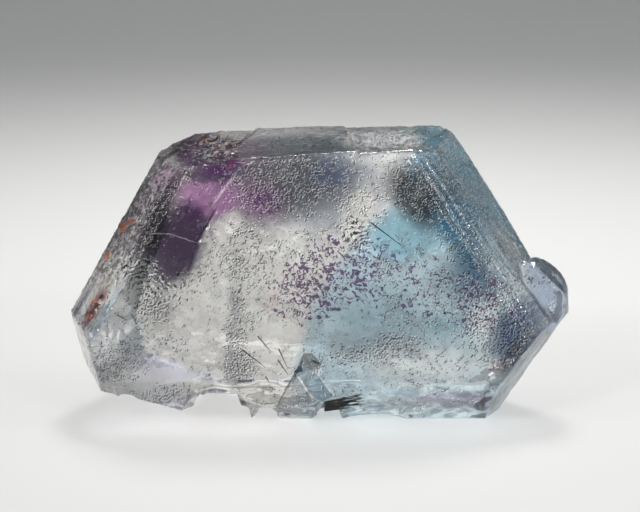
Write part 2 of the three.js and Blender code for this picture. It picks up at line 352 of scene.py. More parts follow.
# The crust of grains covers the left bevel, from nearly none at its foot.
GRAINY = "grainy"
CRUST_FOOT = (12.0, 16.5)
CRUST_COVER = (0.1, 0.88)
LILAC_LEVELS = (0.57, 0.63)
CREAM_LEVELS = (0.82, 0.86)

# The right bevel is speckled, and the painted shade of its many strokes is weaker.
FROSTED = "frosted"
SPECKLE_COVER = 0.5
FROST_DENSITY = 0.9
FROST_SHADE = 0.45

# Granules lie on the left-hand block of the top and on the red stripe, in three tones:
# the cell's channel, the level that it has to pass, and the colour.
GRANULES = (
    Cloud((-12.3, 31.0), (2.8, 1.9), 30, 1.0, TOP),
    Cloud((-27.0, 11.5), (0.9, 3.6), 31, 0.9, SIDES),
)
GRANULE_TONES = (("Green", 0.74, "brown"), ("Red", 0.80, "pale_grain_and_glint"), ("Blue", 0.92, "rust"))
GRANULE_EDGE = 0.04

# Needles shut in under the broad face: both ends (right, up) in millimetres.
INCLUSIONS = (
    ((-4.8, 6.7), (-3.8, 4.5)),
    ((-4.9, 5.4), (-3.7, 3.6)),
    ((-9.2, 6.6), (-6.4, 4.5)),
    ((-7.3, 8.2), (-5.8, 6.4)),
    ((-6.4, 3.4), (-5.9, 2.7)),
    ((6.3, 21.8), (10.0, 19.0)),
    ((-7.2, 24.7), (-6.3, 23.5)),
    ((-24.2, 10.8), (-23.1, 10.1)),
    ((-22.4, 10.8), (-21.7, 9.4)),
)
OUTSIDE = -100.0

# The sheaf, in shares of its solid's box: how high a needle starts, how far it leans to the
# front, how long it is and how far it rises. Roots and tips weigh these shares differently.
SHEAF_SEED = 7
SHEAF_LIFT = (0.15, 0.62)
SHEAF_SPREAD = (0.3, 0.7)
SHEAF_REACH = (0.55, 1.0)
SHEAF_RISE = (0.25, 0.65)
ROOT_FORWARD = 0.25
ROOT_LIFT = 0.8
TIP_FORWARD = 0.3
TIP_SPREAD = 0.9
TIP_LIFT = 0.6
NEEDLE_SIDES = 6
STREAK_SCALE = 2.2
STREAK_DETAIL = 3.0
SHEEN_RANGE = (0.5, 0.75)
DULL_RANGE = (0.3, 0.7)
NEEDLE_ROUGHNESS = (0.45, 0.65)

# Heights between which the backdrop darkens, in metres.
WALL_STARTS = (0.15, 0.5)
FLOOR_ROUGHNESS = 0.6
NEAREST_SEEN = 0.01


# Settings


def colour_setting(name, description, red, green, blue):
    return FloatVectorProperty(
        name=name,
        description=description,
        subtype="COLOR_GAMMA",
        size=3,
        min=0.0,
        max=1.0,
        default=(red / 255, green / 255, blue / 255),
    )


class CrystalShape(bpy.types.PropertyGroup):
    """Sizes of the crystal's skin."""

    mesh_step: FloatProperty(
        name="Mesh Step",
        description="Width of the even mesh that carries the etching",
        default=0.29 * MM,
        unit="LENGTH",
    )
    etch_height: FloatProperty(
        name="Etching",
        description="How strongly the faces are etched, as a share of the measured relief",
        default=1.0,
        min=0.0,
        subtype="FACTOR",
    )
    fine_relief: FloatProperty(
        name="Fine Relief",
        description="Height of the relief that is finer than the mesh",
        default=0.03 * MM,
        unit="LENGTH",
    )


class CrystalFinish(bpy.types.PropertyGroup):
    """Colours and optical values of the crystal."""

    clear: colour_setting("Clear", "Clear lower left part", 226, 224, 219)
    milk: colour_setting("Milk", "Paler clouds in the clear part", 244, 243, 239)
    grey: colour_setting("Grey", "Greyer part under the top edge", 50, 52, 62)
    blue: colour_setting("Blue", "Right-hand side", 190, 212, 219)
    pale_blue: colour_setting("Pale Blue", "Lightest part of the blue side", 104, 152, 168)
    teal: colour_setting("Teal", "Deep band along the right bevel", 12, 82, 112)
    slate: colour_setting("Slate", "Dark patch below the right end of the top", 7, 12, 20)
    ink_blue: colour_setting("Ink Blue", "Dark patch in the lower right corner", 26, 58, 104)
    frost: colour_setting("Frost", "Streaky white near the lower right edge", 244, 250, 250)
    mauve: colour_setting("Mauve", "Upper part of the violet zone", 146, 98, 142)
    violet: colour_setting("Violet", "Deep part of the violet zone", 44, 12, 58)
    purple: colour_setting("Purple", "Left-hand block of the top", 62, 16, 74)
    # Painted shadows: small grey patches on the broad face and the broken edge.
    painted_grey_shadow: colour_setting("Smoke", "Small grey shadows", 98, 97, 106)
    light_stripe: colour_setting("Light Stripe", "Pale blue line on the left edge", 168, 194, 212)
    red_stripe: colour_setting("Red Stripe", "Dark red line on the left edge", 104, 16, 34)
    blush: colour_setting("Blush", "Pink streak in the middle", 236, 190, 178)
    fleck: colour_setting("Fleck", "Small purple flecks", 62, 22, 78)
    rust: colour_setting("Rust", "Orange stains and granules", 238, 92, 10)
    grain_dark: colour_setting("Dark Grain", "Dark grains of the left bevel", 3, 3, 4)
    lilac: colour_setting("Lilac Grain", "Lilac grains of the left bevel", 216, 198, 206)
    # Pale grains, partly painted glints: their cells stand in for sparkles on the left bevel, the
    # top's block and the red stripe.
    pale_grain_and_glint: colour_setting("Cream Grain", "Pale grains and granules", 255, 250, 238)
    cream_pale: colour_setting("Pale Cream", "Beside the blue side, broken edge", 236, 231, 218)
    bevel_pale: colour_setting("Pale Bevel", "Right bevel", 106, 170, 196)
    sea: colour_setting("Sea Blue", "Upper end of the right bevel", 80, 160, 190)
    haze: colour_setting("Haze", "Grey veil in the upper middle", 128, 135, 146)
    lake: colour_setting("Lake", "Grey-blue waves low down, plate of the top", 150, 162, 172)
    brown: colour_setting("Brown", "Open cracks across the top, dark granules", 34, 20, 14)
    # Painted light and shade of the second crystal's facets: a lighter left facet, a blue right
    # facet and a dark upper facet.
    wedge_lit_grey: colour_setting("Wedge Grey", "Left facet of the second crystal", 140, 140, 140)
    wedge_blue: colour_setting("Wedge Blue", "Right facet of the second crystal", 98, 122, 140)
    wedge_shaded_grey: colour_setting("Wedge Dark", "Upper facet of the second crystal", 80, 80, 76)
    lip_grey: colour_setting("Lip Grey", "Lower lip on the right", 120, 110, 134)
    crack_dark: colour_setting("Crack", "Open cracks", 26, 22, 26)
    knob_lilac: colour_setting("Knob Lilac", "Small rounded crystal on the right", 184, 196, 216)
    umber: colour_setting("Umber", "Dark seam beside the left bevel", 22, 18, 18)
    mottle: colour_setting("Mottle", "Grey shade of the more etched clumps", 160, 160, 165)
    # Painted shade and painted highlight of the etch strokes; the pale colour also paints
    # highlights along the top's edges, and pale cracks and lines.
    painted_stroke_shade: colour_setting("Dark Strokes", "Shaded side of the etching", 14, 14, 18)
    painted_highlight_and_pale_line: colour_setting("Pale Strokes", "Lit side of the etching", 250, 250, 248)
    refraction: FloatProperty(
        name="IOR", description="Refractive index of fluorite", default=1.434, min=1.0
    )
    transmission: FloatProperty(
        name="Transmission",
        description="Share of the light that passes into the crystal",
        default=0.88,
        min=0.0,
        max=1.0,
        subtype="FACTOR",
    )
    absorption: FloatProperty(
        name="Absorption",
        description="How fast the inside dims what is seen through it, per metre",
        default=14.0,
        min=0.0,
    )
    inner_tint: colour_setting("Inner Tint", "Colour that the inside lets through", 226, 229, 232)


class NeedleFinish(bpy.types.PropertyGroup):
    """Sizes and colours of the dark needles."""

    count: IntProperty(name="Needles", description="Needles in the sheaf", default=34, min=1)
    width: FloatProperty(
        name="Width", description="Width of one needle", default=0.2 * MM, unit="LENGTH"
    )
    depth: FloatProperty(
        name="Depth",
        description="How far under the face the shut-in needles lie",
        default=0.45 * MM,
        unit="LENGTH",
    )
    dark: colour_setting("Dark", "Body of a needle", 9, 10, 11)
    # Painted sheen: lighter greenish streaks along the needles that stand in for their lustre.
    painted_sheen: colour_setting("Sheen", "Worn, greenish stretches of a needle", 52, 58, 54)


class StageSettings(bpy.types.PropertyGroup):
    """Camera, floor and studio light."""

    target: FloatVectorProperty(
        name="Target",
        description="Point that the camera looks at",
        default=(0.146 * MM, -8.877 * MM, 20.1 * MM),
        subtype="TRANSLATION",
        unit="LENGTH",
    )
    distance: FloatProperty(
        name="Distance", description="Camera to target", default=288 * MM, unit="LENGTH"
    )
    lens: FloatProperty(name="Lens", description="Focal length in millimetres", default=135.0)
    floor_size: FloatProperty(
        name="Floor", description="Width of the floor", default=2.8, unit="LENGTH"
    )
    backdrop: FloatProperty(
        name="Backdrop",
        description="Height of the wall behind the floor",
        default=1.8,
        unit="LENGTH",
    )
    floor: colour_setting("Floor Colour", "Pale floor", 206, 206, 204)
    wall: colour_setting("Wall Colour", "Upper part of the backdrop", 84, 85, 88)
    sky: colour_setting("Surround", "Soft grey light from all round", 236, 238, 242)
    sky_strength: FloatProperty(
        name="Surround Strength", description="Brightness of the surround", default=0.44
    )


# Geometry helpers


def direction(azimuth, elevation):
    a, e = math.radians(azimuth), math.radians(elevation)
    return Vector((math.cos(e) * math.cos(a), math.cos(e) * math.sin(a), math.sin(e)))


def smoothstep(low, high, value):
    t = min(max((value - low) / (high - low), 0.0), 1.0)
    return t * t * (3 - 2 * t)


VIEW_FROM_FRAME = Matrix.Rotation(VIEW_TILT, 4, "X")


def seen_at(point):
    """Right, away and up of a point of the frame, in millimetres, square to the view."""
    return VIEW_FROM_FRAME @ (point / MM)


def new_object(name, mesh):
    piece = bpy.data.objects.new(name, mesh)
    bpy.context.scene.collection.objects.link(piece)
    return piece


def mesh_from(bm, name):
    mesh = bpy.data.meshes.new(name)
    bm.to_mesh(mesh)
    bm.free()
    return mesh


def segment_distance(right, up, start, end):
    along = Vector(end) - Vector(start)
    offset = Vector((right, up)) - Vector(start)
    share = min(max(offset.dot(along) / along.length_squared, 0.0), 1.0)
    return (offset - along * share).length


# Node helpers


class Finish:
    """Builds one material's node tree."""

    def __init__(self, name):
        self.material = bpy.data.materials.new(name)
        self.material.use_nodes = True
        self.nodes = self.material.node_tree.nodes
        self.links = self.material.node_tree.links
        self.shader = self.nodes["Principled BSDF"]
        self.output = self.nodes["Material Output"]

    def node(self, kind, inputs=None, **settings):
        made = self.nodes.new(kind)
        for key, value in settings.items():
            setattr(made, key, value)
        for key, value in (inputs or {}).items():
            self.feed(made.inputs[key], value)
        return made

    def feed(self, socket, value):
        if isinstance(value, bpy.types.NodeSocket):
            self.links.new(value, socket)
        else:
            socket.default_value = value

    def math(self, operation, first, second=0.0, third=0.0):
        inputs = {0: first, 1: second, 2: third}
        return self.node("ShaderNodeMath", inputs, operation=operation).outputs[0]

    def step(self, value, low, high, to_low=0.0, to_high=1.0):
        """Runs smoothly from one result to the other while the value goes from low to high."""
        inputs = {
            "Value": value,
            "From Min": low,
            "From Max": high,
            "To Min": to_low,
            "To Max": to_high,
        }
        made = self.node("ShaderNodeMapRange", inputs, interpolation_type="SMOOTHSTEP")
        return made.outputs["Result"]

    def mix(self, share, below, above, blend="MIX"):
        made = self.node("ShaderNodeMix", data_type="RGBA", blend_type=blend)
        self.feed(made.inputs["Factor"], share)
        self.feed(made.inputs["A"], below)
        self.feed(made.inputs["B"], above)
        return made.outputs["Result"]

    def noise(self, vector, scale, detail=2.0, distortion=0.0, output="Fac"):
        inputs = {"Vector": vector, "Scale": scale, "Detail": detail, "Distortion": distortion}
        return self.node("ShaderNodeTexNoise", inputs).outputs[output]

    def view_mm(self):
        """Object coordinates in millimetres, square to the view."""
        place = self.node("ShaderNodeTexCoord").outputs["Object"]
        inputs = {"Vector": place, "Rotation": (VIEW_TILT, 0, 0), "Scale": (1 / MM, 1 / MM, 1 / MM)}
        return self.node("ShaderNodeMapping", inputs).outputs["Vector"]

    def squat(self, vector, share):
        """The same place with its depth shrunk, so that marks aren't thinned on aslant faces."""
        inputs = {"Vector": vector, "Scale": (1.0, share, 1.0)}
        return self.node("ShaderNodeMapping", inputs).outputs["Vector"]

    def cells(self, vector, scale, share):
        """A random colour for each small cell."""
        inputs = {"Vector": self.squat(vector, share), "Scale": scale}
        return self.node("ShaderNodeTexVoronoi", inputs).outputs["Color"]

    def wavy(self, vector, scale, reach):
        """The same place, pushed about by noise so that an edge wanders."""
        push = self.noise(vector, scale, WAVE_DETAIL, output="Color")
        inputs = {0: push, 1: (0.5, 0.5, 0.5)}
        centred = self.node("ShaderNodeVectorMath", inputs, operation="SUBTRACT").outputs[0]
        inputs = {0: centred, 1: (reach, reach, reach), 2: vector}
        return self.node("ShaderNodeVectorMath", inputs, operation="MULTIPLY_ADD").outputs[0]

    def zone(self, vector, at, half, lean, edge, depth, cover):
        """Its cover inside a leaning ellipse, falling to 0 over the soft edge."""
        away, half_away = depth or (0.0, THROUGH)
        inputs = {
            "Vector": vector,
            "Location": (at[0], away, at[1]),
            "Rotation": (0, math.radians(lean), 0),
            "Scale": (half[0], half_away, half[1]),
        }
        placed = self.node("ShaderNodeMapping", inputs, vector_type="TEXTURE").outputs["Vector"]
        far = self.node("ShaderNodeVectorMath", {0: placed}, operation="LENGTH").outputs["Value"]
        return self.step(far, 1 + edge, 1 - edge, 0.0, cover)


def linear(colour):
    return (*Color(colour).from_srgb_to_scene_linear(), 1.0)


# The crystal


FACE_NORMALS = {name: direction(*angles) for name, angles in FACE_DIRECTIONS.items()}


def etching_at(normal):
    for name, outward in FACE_NORMALS.items():
        if normal.dot(outward) > SAME_FACE:
            return ETCHINGS[name]
    return ETCHINGS["elsewhere"]


def winding_ridge(place):
    """1 on the crest of a winding ridge, 0 between ridges."""
    return 1 - min(1.0, abs(noise.noise(place)) * RIDGE_SHARPNESS)


def etched_height(point, normal):
    """How far the etched skin stands off the flat face at a point, in millimetres."""
    etching = etching_at(normal)
    place = point / MM
    swell = noise.fractal(place / etching.swell_width, 1.0, 2.0, SWELL_OCTAVES)
    height = etching.swell * swell
    bend = noise.noise_vector(place / RIDGE_BEND_WIDTH) * RIDGE_BEND
    ridge = winding_ridge(place / etching.ridge_width + bend)
    height += etching.ridge * (ridge - RIDGE_SINK)
    if etching.grain:
        near, _ = noise.voronoi(place / etching.grain_width)
        height += etching.grain * (GRAIN_SINK - near[0])
    return height


def crack_depth(right, up):
    """Depth of the deepest crack at a place of the broad face, in millimetres."""
    depths = [0.0]
    for crack in CRACKS:
        away = segment_distance(right, up, crack.start, crack.end)
        depths.append(crack.depth * (1 - smoothstep(0.0, crack.width, away)))
    return max(depths)


def facing(vert, face):
    """1 where a vertex lies on the named face, 0 on the other faces."""
    return smoothstep(*FACE_BLEND, vert.normal.dot(FACE_NORMALS[face]))


def even_skin(name, step):
    """The crystal's own solid with an even mesh fine enough to carve."""
    bm = bmesh.new()
    bm.from_mesh(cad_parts["crystal"].data)
    bmesh.ops.remove_doubles(bm, verts=bm.verts, dist=MERGE_DISTANCE)
    piece = new_object(name, mesh_from(bm, name))
    grid = piece.modifiers.new("even_mesh", "REMESH")
    grid.mode = "VOXEL"
    grid.voxel_size = step
    finished = piece.evaluated_get(bpy.context.evaluated_depsgraph_get())
    piece.data = bpy.data.meshes.new_from_object(finished)
    piece.data.name = name
    piece.modifiers.clear()
    return piece


def carve(piece, strength):
    """Etches the skin, cuts its cracks and keeps the base flat."""
    bm = bmesh.new()
    bm.from_mesh(piece.data)
    bm.normal_update()
    front = FACE_NORMALS["front"]
    noise.seed_set(RIDGE_SEED)
    grainy = bm.verts.layers.float.new(GRAINY)
    frosted = bm.verts.layers.float.new(FROSTED)
    moves = []
    for vert in bm.verts:
        vert[grainy] = facing(vert, "left_bevel")
        vert[frosted] = facing(vert, "right_bevel")
        height = etched_height(vert.co, vert.normal) * strength
        if vert.normal.dot(front) > FRONT_FACING:
            seen = seen_at(vert.co)
            height -= crack_depth(seen.x, seen.z)
        on_base = smoothstep(*BASE_BLEND, vert.co.z / MM)
        moves.append(vert.normal * height * (1 - on_base) * MM)
    for vert, move in zip(bm.verts, moves):
        vert.co += move
        vert.co.z = max(vert.co.z, 0.0)
    for face in bm.faces:
        face.smooth = True
    bm.to_mesh(piece.data)
    bm.free()


def laid(finish, place, zone, below, colours):
    """The colour below with one zone laid over it."""
    share = finish.zone(place, zone.at, zone.half, zone.lean, zone.edge, zone.depth, zone.cover)
    return finish.mix(share, below, linear(getattr(colours, zone.colour)))


def zone_colours(finish, place, colours):
    """The colour of the crystal before its flecks, stains and etch lines."""
    wavy = finish.wavy(finish.wavy(place, *BROAD_WAVES), *SMALL_WAVES)
    milky = finish.step(finish.noise(place, MILK_SCALE, MILK_DETAIL), *MILK_RANGE)
    colour = finish.mix(milky, linear(colours.clear), linear(colours.milk))
    apart = finish.node("ShaderNodeSeparateXYZ", {0: wavy})
    climb = finish.math("SUBTRACT", apart.outputs["Z"], BLUE_EDGE["level"])
    bend = finish.math("TANH", finish.math("DIVIDE", climb, BLUE_EDGE["rise"]))
    edge = finish.math("MULTIPLY_ADD", bend, BLUE_EDGE["reach"], BLUE_EDGE["middle"])
    past = finish.math("SUBTRACT", apart.outputs["X"], edge)
    softness = finish.step(climb, *BLUE_CLIMB, BLUE_EDGE["soft"], BLUE_EDGE["sharp"])
    share = finish.step(finish.math("DIVIDE", past, softness), -1.0, 1.0)
    colour = finish.mix(share, colour, linear(colours.blue))
    for zone in ZONES:
        colour = laid(finish, wavy, zone, colour, colours)
    return colour


def facet_share(finish, place, corners):
    """The cover of a convex facet of the broad face, 0 outside it."""
    away = finish.node("ShaderNodeSeparateXYZ", {0: place}).outputs["Y"]
    inside = finish.step(away, *FACET_DEPTH, -1.0, 1.0)
    for start, end in zip(corners, corners[1:] + corners[:1]):
        along = (Vector(end) - Vector(start)).normalized()
        inward = Vector((along.y, 0, -along.x))
        inputs = {0: place, 1: inward}
        reach = finish.node("ShaderNodeVectorMath", inputs, operation="DOT_PRODUCT")
        edge = inward.dot(Vector((start[0], 0, start[1])))
        from_edge = finish.math("SUBTRACT", reach.outputs["Value"], edge)
        inside = finish.math("MINIMUM", inside, from_edge)
    return finish.step(inside, -FACET_EDGE, FACET_EDGE, 0.0, FACET_COVER)


def cloud_density(finish, place, clouds, thin=0.0):
    """How densely the marks of these clouds lie at a place."""
    dense = thin
    for cloud in clouds:
        at, half, lean, density, depth = cloud
        shape = finish.zone(place, at, half, lean, CLOUD_EDGE, depth, density)
        dense = finish.math("MAXIMUM", shape, dense)
    return dense


def fleck_share(finish, place):
    """Where the purple flecks lie."""
    squat = finish.squat(place, FLECK_SQUAT)
    spots = finish.noise(squat, FLECK_SCALE, FLECK_DETAIL, FLECK_TWIST)
    level = finish.step(cloud_density(finish, place, FLECK_CLOUDS), 0.0, 1.0, *FLECK_LEVELS)
    return finish.step(finish.math("SUBTRACT", spots, level), 0.0, FLECK_EDGE, 0.0, FLECK_COVER)


def grain_colour(finish, place, colours):
    """The crust of grains: dark, lilac and pale, the pale ones partly painted glints."""
    pick = finish.node("ShaderNodeSeparateColor", {0: finish.cells(place, *GRAIN_CELLS)})
    lilac = finish.step(pick.outputs["Red"], *LILAC_LEVELS)
    pale_grain_and_glint = finish.step(pick.outputs["Green"], *CREAM_LEVELS)
    colour = finish.mix(lilac, linear(colours.grain_dark), linear(colours.lilac))
    return finish.mix(pale_grain_and_glint, colour, linear(colours.pale_grain_and_glint))


def granule_colour(finish, place, colour, colours):
    """The colour below with brown, pale and rusty granules scattered over it, the pale ones partly
    painted glints.
    """
    pick = finish.node("ShaderNodeSeparateColor", {0: finish.cells(place, *GRANULE_CELLS)})
    dense = cloud_density(finish, place, GRANULES)
    for channel, level, tone in GRANULE_TONES:
        there = finish.step(pick.outputs[channel], level, level + GRANULE_EDGE)
        share = finish.math("MULTIPLY", there, dense)
        colour = finish.mix(share, colour, linear(getattr(colours, tone)))
    return colour


def ripple_slope(finish, place):
    """Ripples in rings, as a slope towards the light that swings the strokes' painted highlight and
    shade.
    """
    slope = 0.0
    for ripple in RIPPLES:
        right, up = ripple.middle
        inputs = {"Vector": place, "Location": (-right, 0, -up)}
        centred = finish.node("ShaderNodeMapping", inputs).outputs["Vector"]
        inputs = {
            "Vector": centred,
            "Scale": math.pi / (10 * RIPPLE_WIDTH),
            "Distortion": RIPPLE_TWIST,
            "Detail": RIPPLE_DETAIL,
            "Detail Scale": RIPPLE_DETAIL_SCALE,
        }
        rings = finish.node("ShaderNodeTexWave", inputs, wave_type="RINGS", rings_direction="Y")
        swing = finish.math("SUBTRACT", rings.outputs["Fac"], 0.5)
        at, half, lean, density, depth = ripple.patch
        cover = RIPPLE_STRENGTH * density
        strength = finish.zone(place, at, half, lean, CLOUD_EDGE, depth, cover)
        slope = finish.math("MULTIPLY_ADD", swing, strength, slope)
    return slope


def etch_strokes(finish, place, density):
    """Thin winding strokes: their painted shade, their painted highlight and the height of the
    relief.
    """
    ripples = ripple_slope(finish, place)
    place = finish.squat(place, STROKE_SQUAT)
    sides = []
    for way in (1, -1):
        inputs = {0: place, 1: tuple(way * part for part in LIT_FROM)}
        moved = finish.node("ShaderNodeVectorMath", inputs, operation="ADD").outputs[0]
        sides.append(finish.noise(moved, STROKE_SCALE, STROKE_DETAIL, STROKE_TWIST))
    rise = finish.math("SUBTRACT", sides[1], sides[0])
    slope = finish.math("ADD", rise, ripples)
    middle = finish.math("MULTIPLY_ADD", finish.math("ADD", sides[0], sides[1]), 0.5, -0.5)
    from_middle = finish.math("ABSOLUTE", middle)
    line = finish.step(from_middle, STROKE_WIDTH, STROKE_WIDTH * STROKE_CORE)
    level = finish.math("MULTIPLY_ADD", density, BREAK_BY_DENSITY, BREAK_LEVEL)
    breaks = finish.noise(place, STROKE_SCALE * STROKE_BREAKS, 1.0)
    whole = finish.step(finish.math("SUBTRACT", breaks, level), 0.0, BREAK_EDGE)
    line = finish.math("MULTIPLY", line, whole)
    lit = finish.math("MULTIPLY", line, finish.step(slope, *LIT_SLOPE, 0.0, LIT_COVER))
    shaded = finish.math("MULTIPLY", line, finish.step(slope, *SHADED_SLOPE))
    return shaded, lit, sides[0]


def marked_colours(finish, place, colours, grainy, frosted):
    """The zones with their crust, speckle, facets, cracks, stains, granules and flecks."""
    colour = zone_colours(finish, place, colours)
    up = finish.node("ShaderNodeSeparateXYZ", {0: place}).outputs["Z"]
    crust = finish.math("MULTIPLY", grainy, finish.step(up, *CRUST_FOOT, *CRUST_COVER))
    colour = finish.mix(crust, colour, grain_colour(finish, place, colours))
    speckle = finish.node("ShaderNodeRGBToBW", {0: finish.cells(place, *SPECKLE_CELLS)})
    share = finish.math("MULTIPLY", frosted, SPECKLE_COVER)
    colour = finish.mix(share, colour, speckle.outputs[0], "MULTIPLY")
    for facet in FACETS:
        share = facet_share(finish, place, facet.corners)
        colour = finish.mix(share, colour, linear(getattr(colours, facet.colour)))
    steady = finish.wavy(place, *STEADY_WAVES)
    for zone in SHARP_ZONES:
        colour = laid(finish, steady, zone, colour, colours)
    colour = granule_colour(finish, place, colour, colours)
    return finish.mix(fleck_share(finish, place), colour, linear(colours.fleck))


def etch_density(finish, place, clumps, frosted):
    """How densely the etch strokes lie."""
    density = cloud_density(finish, place, ETCH_CLOUDS, clumps)
    calm = finish.math("SUBTRACT", 1.0, cloud_density(finish, place, CALM_CLOUDS))
    density = finish.math("MULTIPLY", density, calm)
    return finish.math("MAXIMUM", density, finish.math("MULTIPLY", frosted, FROST_DENSITY))


def skin_roughness(finish, place, mottling, grainy):
    """Uneven over the faces, smoother on the top, duller in patches and on the grains."""
    up = finish.node("ShaderNodeSeparateXYZ", {0: place}).outputs["Z"]
    rough = finish.step(mottling, *ROUGH_RANGE, *ROUGHNESS)
    rough = finish.math("MULTIPLY", rough, finish.step(up, *TOP_STARTS, 1.0, TOP_SMOOTH))
    wander = finish.wavy(place, *PATCH_WAVES)
    rough = finish.math("ADD", rough, cloud_density(finish, wander, DULL_PATCHES))
    return finish.math("MULTIPLY_ADD", grainy, GRAIN_ROUGHNESS, rough)


def crystal_finish(colours, shape):
    finish = Finish("etched_fluorite")
    place = finish.view_mm()
    grainy = finish.node("ShaderNodeAttribute", attribute_name=GRAINY).outputs["Fac"]
    frosted = finish.node("ShaderNodeAttribute", attribute_name=FROSTED).outputs["Fac"]
    colour = marked_colours(finish, place, colours, grainy, frosted)

    mottling = finish.noise(place, MOTTLE_SCALE)
    clumps = finish.step(mottling, *MOTTLE_RANGE, *MOTTLE_ETCH)
    share = finish.math("MULTIPLY", clumps, MOTTLE_COVER)
    colour = finish.mix(share, colour, linear(colours.mottle), "MULTIPLY")
    density = etch_density(finish, place, clumps, frosted)
    shaded, lit, height = etch_strokes(finish, place, density)
    # Painted shade on the shaded side of the strokes, weaker on the frosted bevel, and painted
    # highlight on their lit side.
    shaded = finish.math("MULTIPLY", shaded, finish.step(frosted, 0.0, 1.0, 1.0, FROST_SHADE))
    colour = finish.mix(shaded, colour, linear(colours.painted_stroke_shade), "MULTIPLY")
    colour = finish.mix(lit, colour, linear(colours.painted_highlight_and_pale_line))

    shader = finish.shader
    finish.feed(shader.inputs["Base Color"], colour)
    roughness = skin_roughness(finish, place, mottling, grainy)
    finish.feed(shader.inputs["Roughness"], roughness)
    shader.inputs["IOR"].default_value = colours.refraction
    shader.inputs["Transmission Weight"].default_value = colours.transmission
    inputs = {
        "Height": height,
        "Distance": shape.fine_relief,
        "Strength": finish.math("MULTIPLY", density, RELIEF_STRENGTH),
    }
    bump = finish.node("ShaderNodeBump", inputs)
    finish.feed(shader.inputs["Normal"], bump.outputs["Normal"])
    inputs = {"Color": linear(colours.inner_tint), "Density": colours.absorption}
    inside = finish.node("ShaderNodeVolumeAbsorption", inputs)
    finish.links.new(inside.outputs["Volume"], finish.output.inputs["Volume"])
    return finish.material


class FLUORITE_OT_crystal(bpy.types.Operator):
    """Makes the etched, colour-zoned crystal in place of its plain solid"""

    bl_idname = "fluorite.crystal"
    bl_label = "Crystal"

    def execute(self, context):
        shape = context.scene.fluorite_shape
        piece = even_skin(CRYSTAL, shape.mesh_step)
        carve(piece, shape.etch_height)
        piece.data.materials.clear()
        piece.data.materials.append(crystal_finish(context.scene.fluorite_finish, shape))
        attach(piece, BODY)
        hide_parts("crystal")
        return {"FINISHED"}


# The needles


def add_needle(bm, start, end, width):
    """One pointed needle from start to end."""
    along = end - start
    turn = along.to_track_quat("Z", "Y").to_matrix().to_4x4()
    middle = Matrix.Translation((start + end) / 2)
    bmesh.ops.create_cone(
        bm,
        cap_ends=True,
        segments=NEEDLE_SIDES,
        radius1=width / 2,
        radius2=width / 6,
        depth=along.length,
        matrix=middle @ turn,
    )


def needle_finish(colours):
    finish = Finish("dark_needles")
    place = finish.view_mm()
    streaks = finish.noise(place, STREAK_SCALE, STREAK_DETAIL)
    # Painted sheen along the needles' streaks, where they are also rougher.
    sheen_share = finish.step(streaks, *SHEEN_RANGE)
    colour = finish.mix(sheen_share, linear(colours.dark), linear(colours.painted_sheen))
    finish.feed(finish.shader.inputs["Base Color"], colour)
    roughness = finish.step(streaks, *DULL_RANGE, *NEEDLE_ROUGHNESS)
    finish.feed(finish.shader.inputs["Roughness"], roughness)
    return finish.material


def shared_needle_finish(context):
    found = bpy.data.materials.get("dark_needles")
    return found or needle_finish(context.scene.fluorite_needles)


class FLUORITE_OT_needle_sheaf(bpy.types.Operator):
    """Makes the sheaf of dark needles that sticks out of the broken lower edge"""

    bl_idname = "fluorite.needle_sheaf"
    bl_label = "Needle Sheaf"

    def execute(self, context):
        settings = context.scene.fluorite_needles
        low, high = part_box("needle_sheaf")
        wide, deep, tall = (far - near for near, far in zip(low, high))
        draw = random.Random(SHEAF_SEED)
        bm = bmesh.new()
        for _ in range(settings.count):
            lift = draw.uniform(*SHEAF_LIFT)
            spread = draw.uniform(*SHEAF_SPREAD)
            start = Vector((
                low.x,
                high.y - deep * ROOT_FORWARD,
                low.z + tall * lift * ROOT_LIFT,
            ))
            reach = draw.uniform(*SHEAF_REACH)
            end = Vector((
                low.x + wide * reach,
                high.y - deep * (TIP_FORWARD + spread * reach * TIP_SPREAD),
                low.z + tall * (lift * TIP_LIFT + draw.uniform(*SHEAF_RISE) * reach),
            ))
            end.z = min(end.z, high.z)
            end.y = max(end.y, low.y)
            add_needle(bm, start, end, settings.width)
        piece = new_object(SHEAF, mesh_from(bm, SHEAF))
        piece.data.materials.append(shared_needle_finish(context))
        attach(piece, BODY)
        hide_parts("needle_sheaf")
        return {"FINISHED"}


class FLUORITE_OT_inclusions(bpy.types.Operator):
    """Makes the thin needles that are shut in under the broad face"""

    bl_idname = "fluorite.inclusions"
    bl_label = "Needle Inclusions"

    def execute(self, context):
        settings = context.scene.fluorite_needles
        crystal = bpy.data.objects[CRYSTAL]
        skin = BVHTree.FromObject(crystal, context.evaluated_depsgraph_get())
        into = VIEW_FROM_FRAME.inverted().to_3x3() @ Vector((0, 1, 0))
        bm = bmesh.new()
        for ends in INCLUSIONS:
            points = []
            for right, up in ends:
                outside = VIEW_FROM_FRAME.inverted() @ Vector((right, OUTSIDE, up)) * MM
                hit = skin.ray_cast(outside, into)[0]
                if hit is None:
                    raise RuntimeError(f"no face of the crystal at {right}, {up}")
                points.append(hit + into * settings.depth)
            add_needle(bm, points[0], points[1], settings.width)
        piece = new_object(INCLUDED, mesh_from(bm, INCLUDED))
        piece.data.materials.append(shared_needle_finish(context))
        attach(piece, BODY)
        return {"FINISHED"}


# The stage


def specimen_alone(name, link_state):
    """A collection that lets a lamp treat the crystal and its needles apart from the floor."""
    alone = bpy.data.collections.new(name)
    for piece in PIECES:
        alone.objects.link(bpy.data.objects[piece])
    for held in alone.collection_objects:
        held.light_linking.link_state = link_state
    return alone


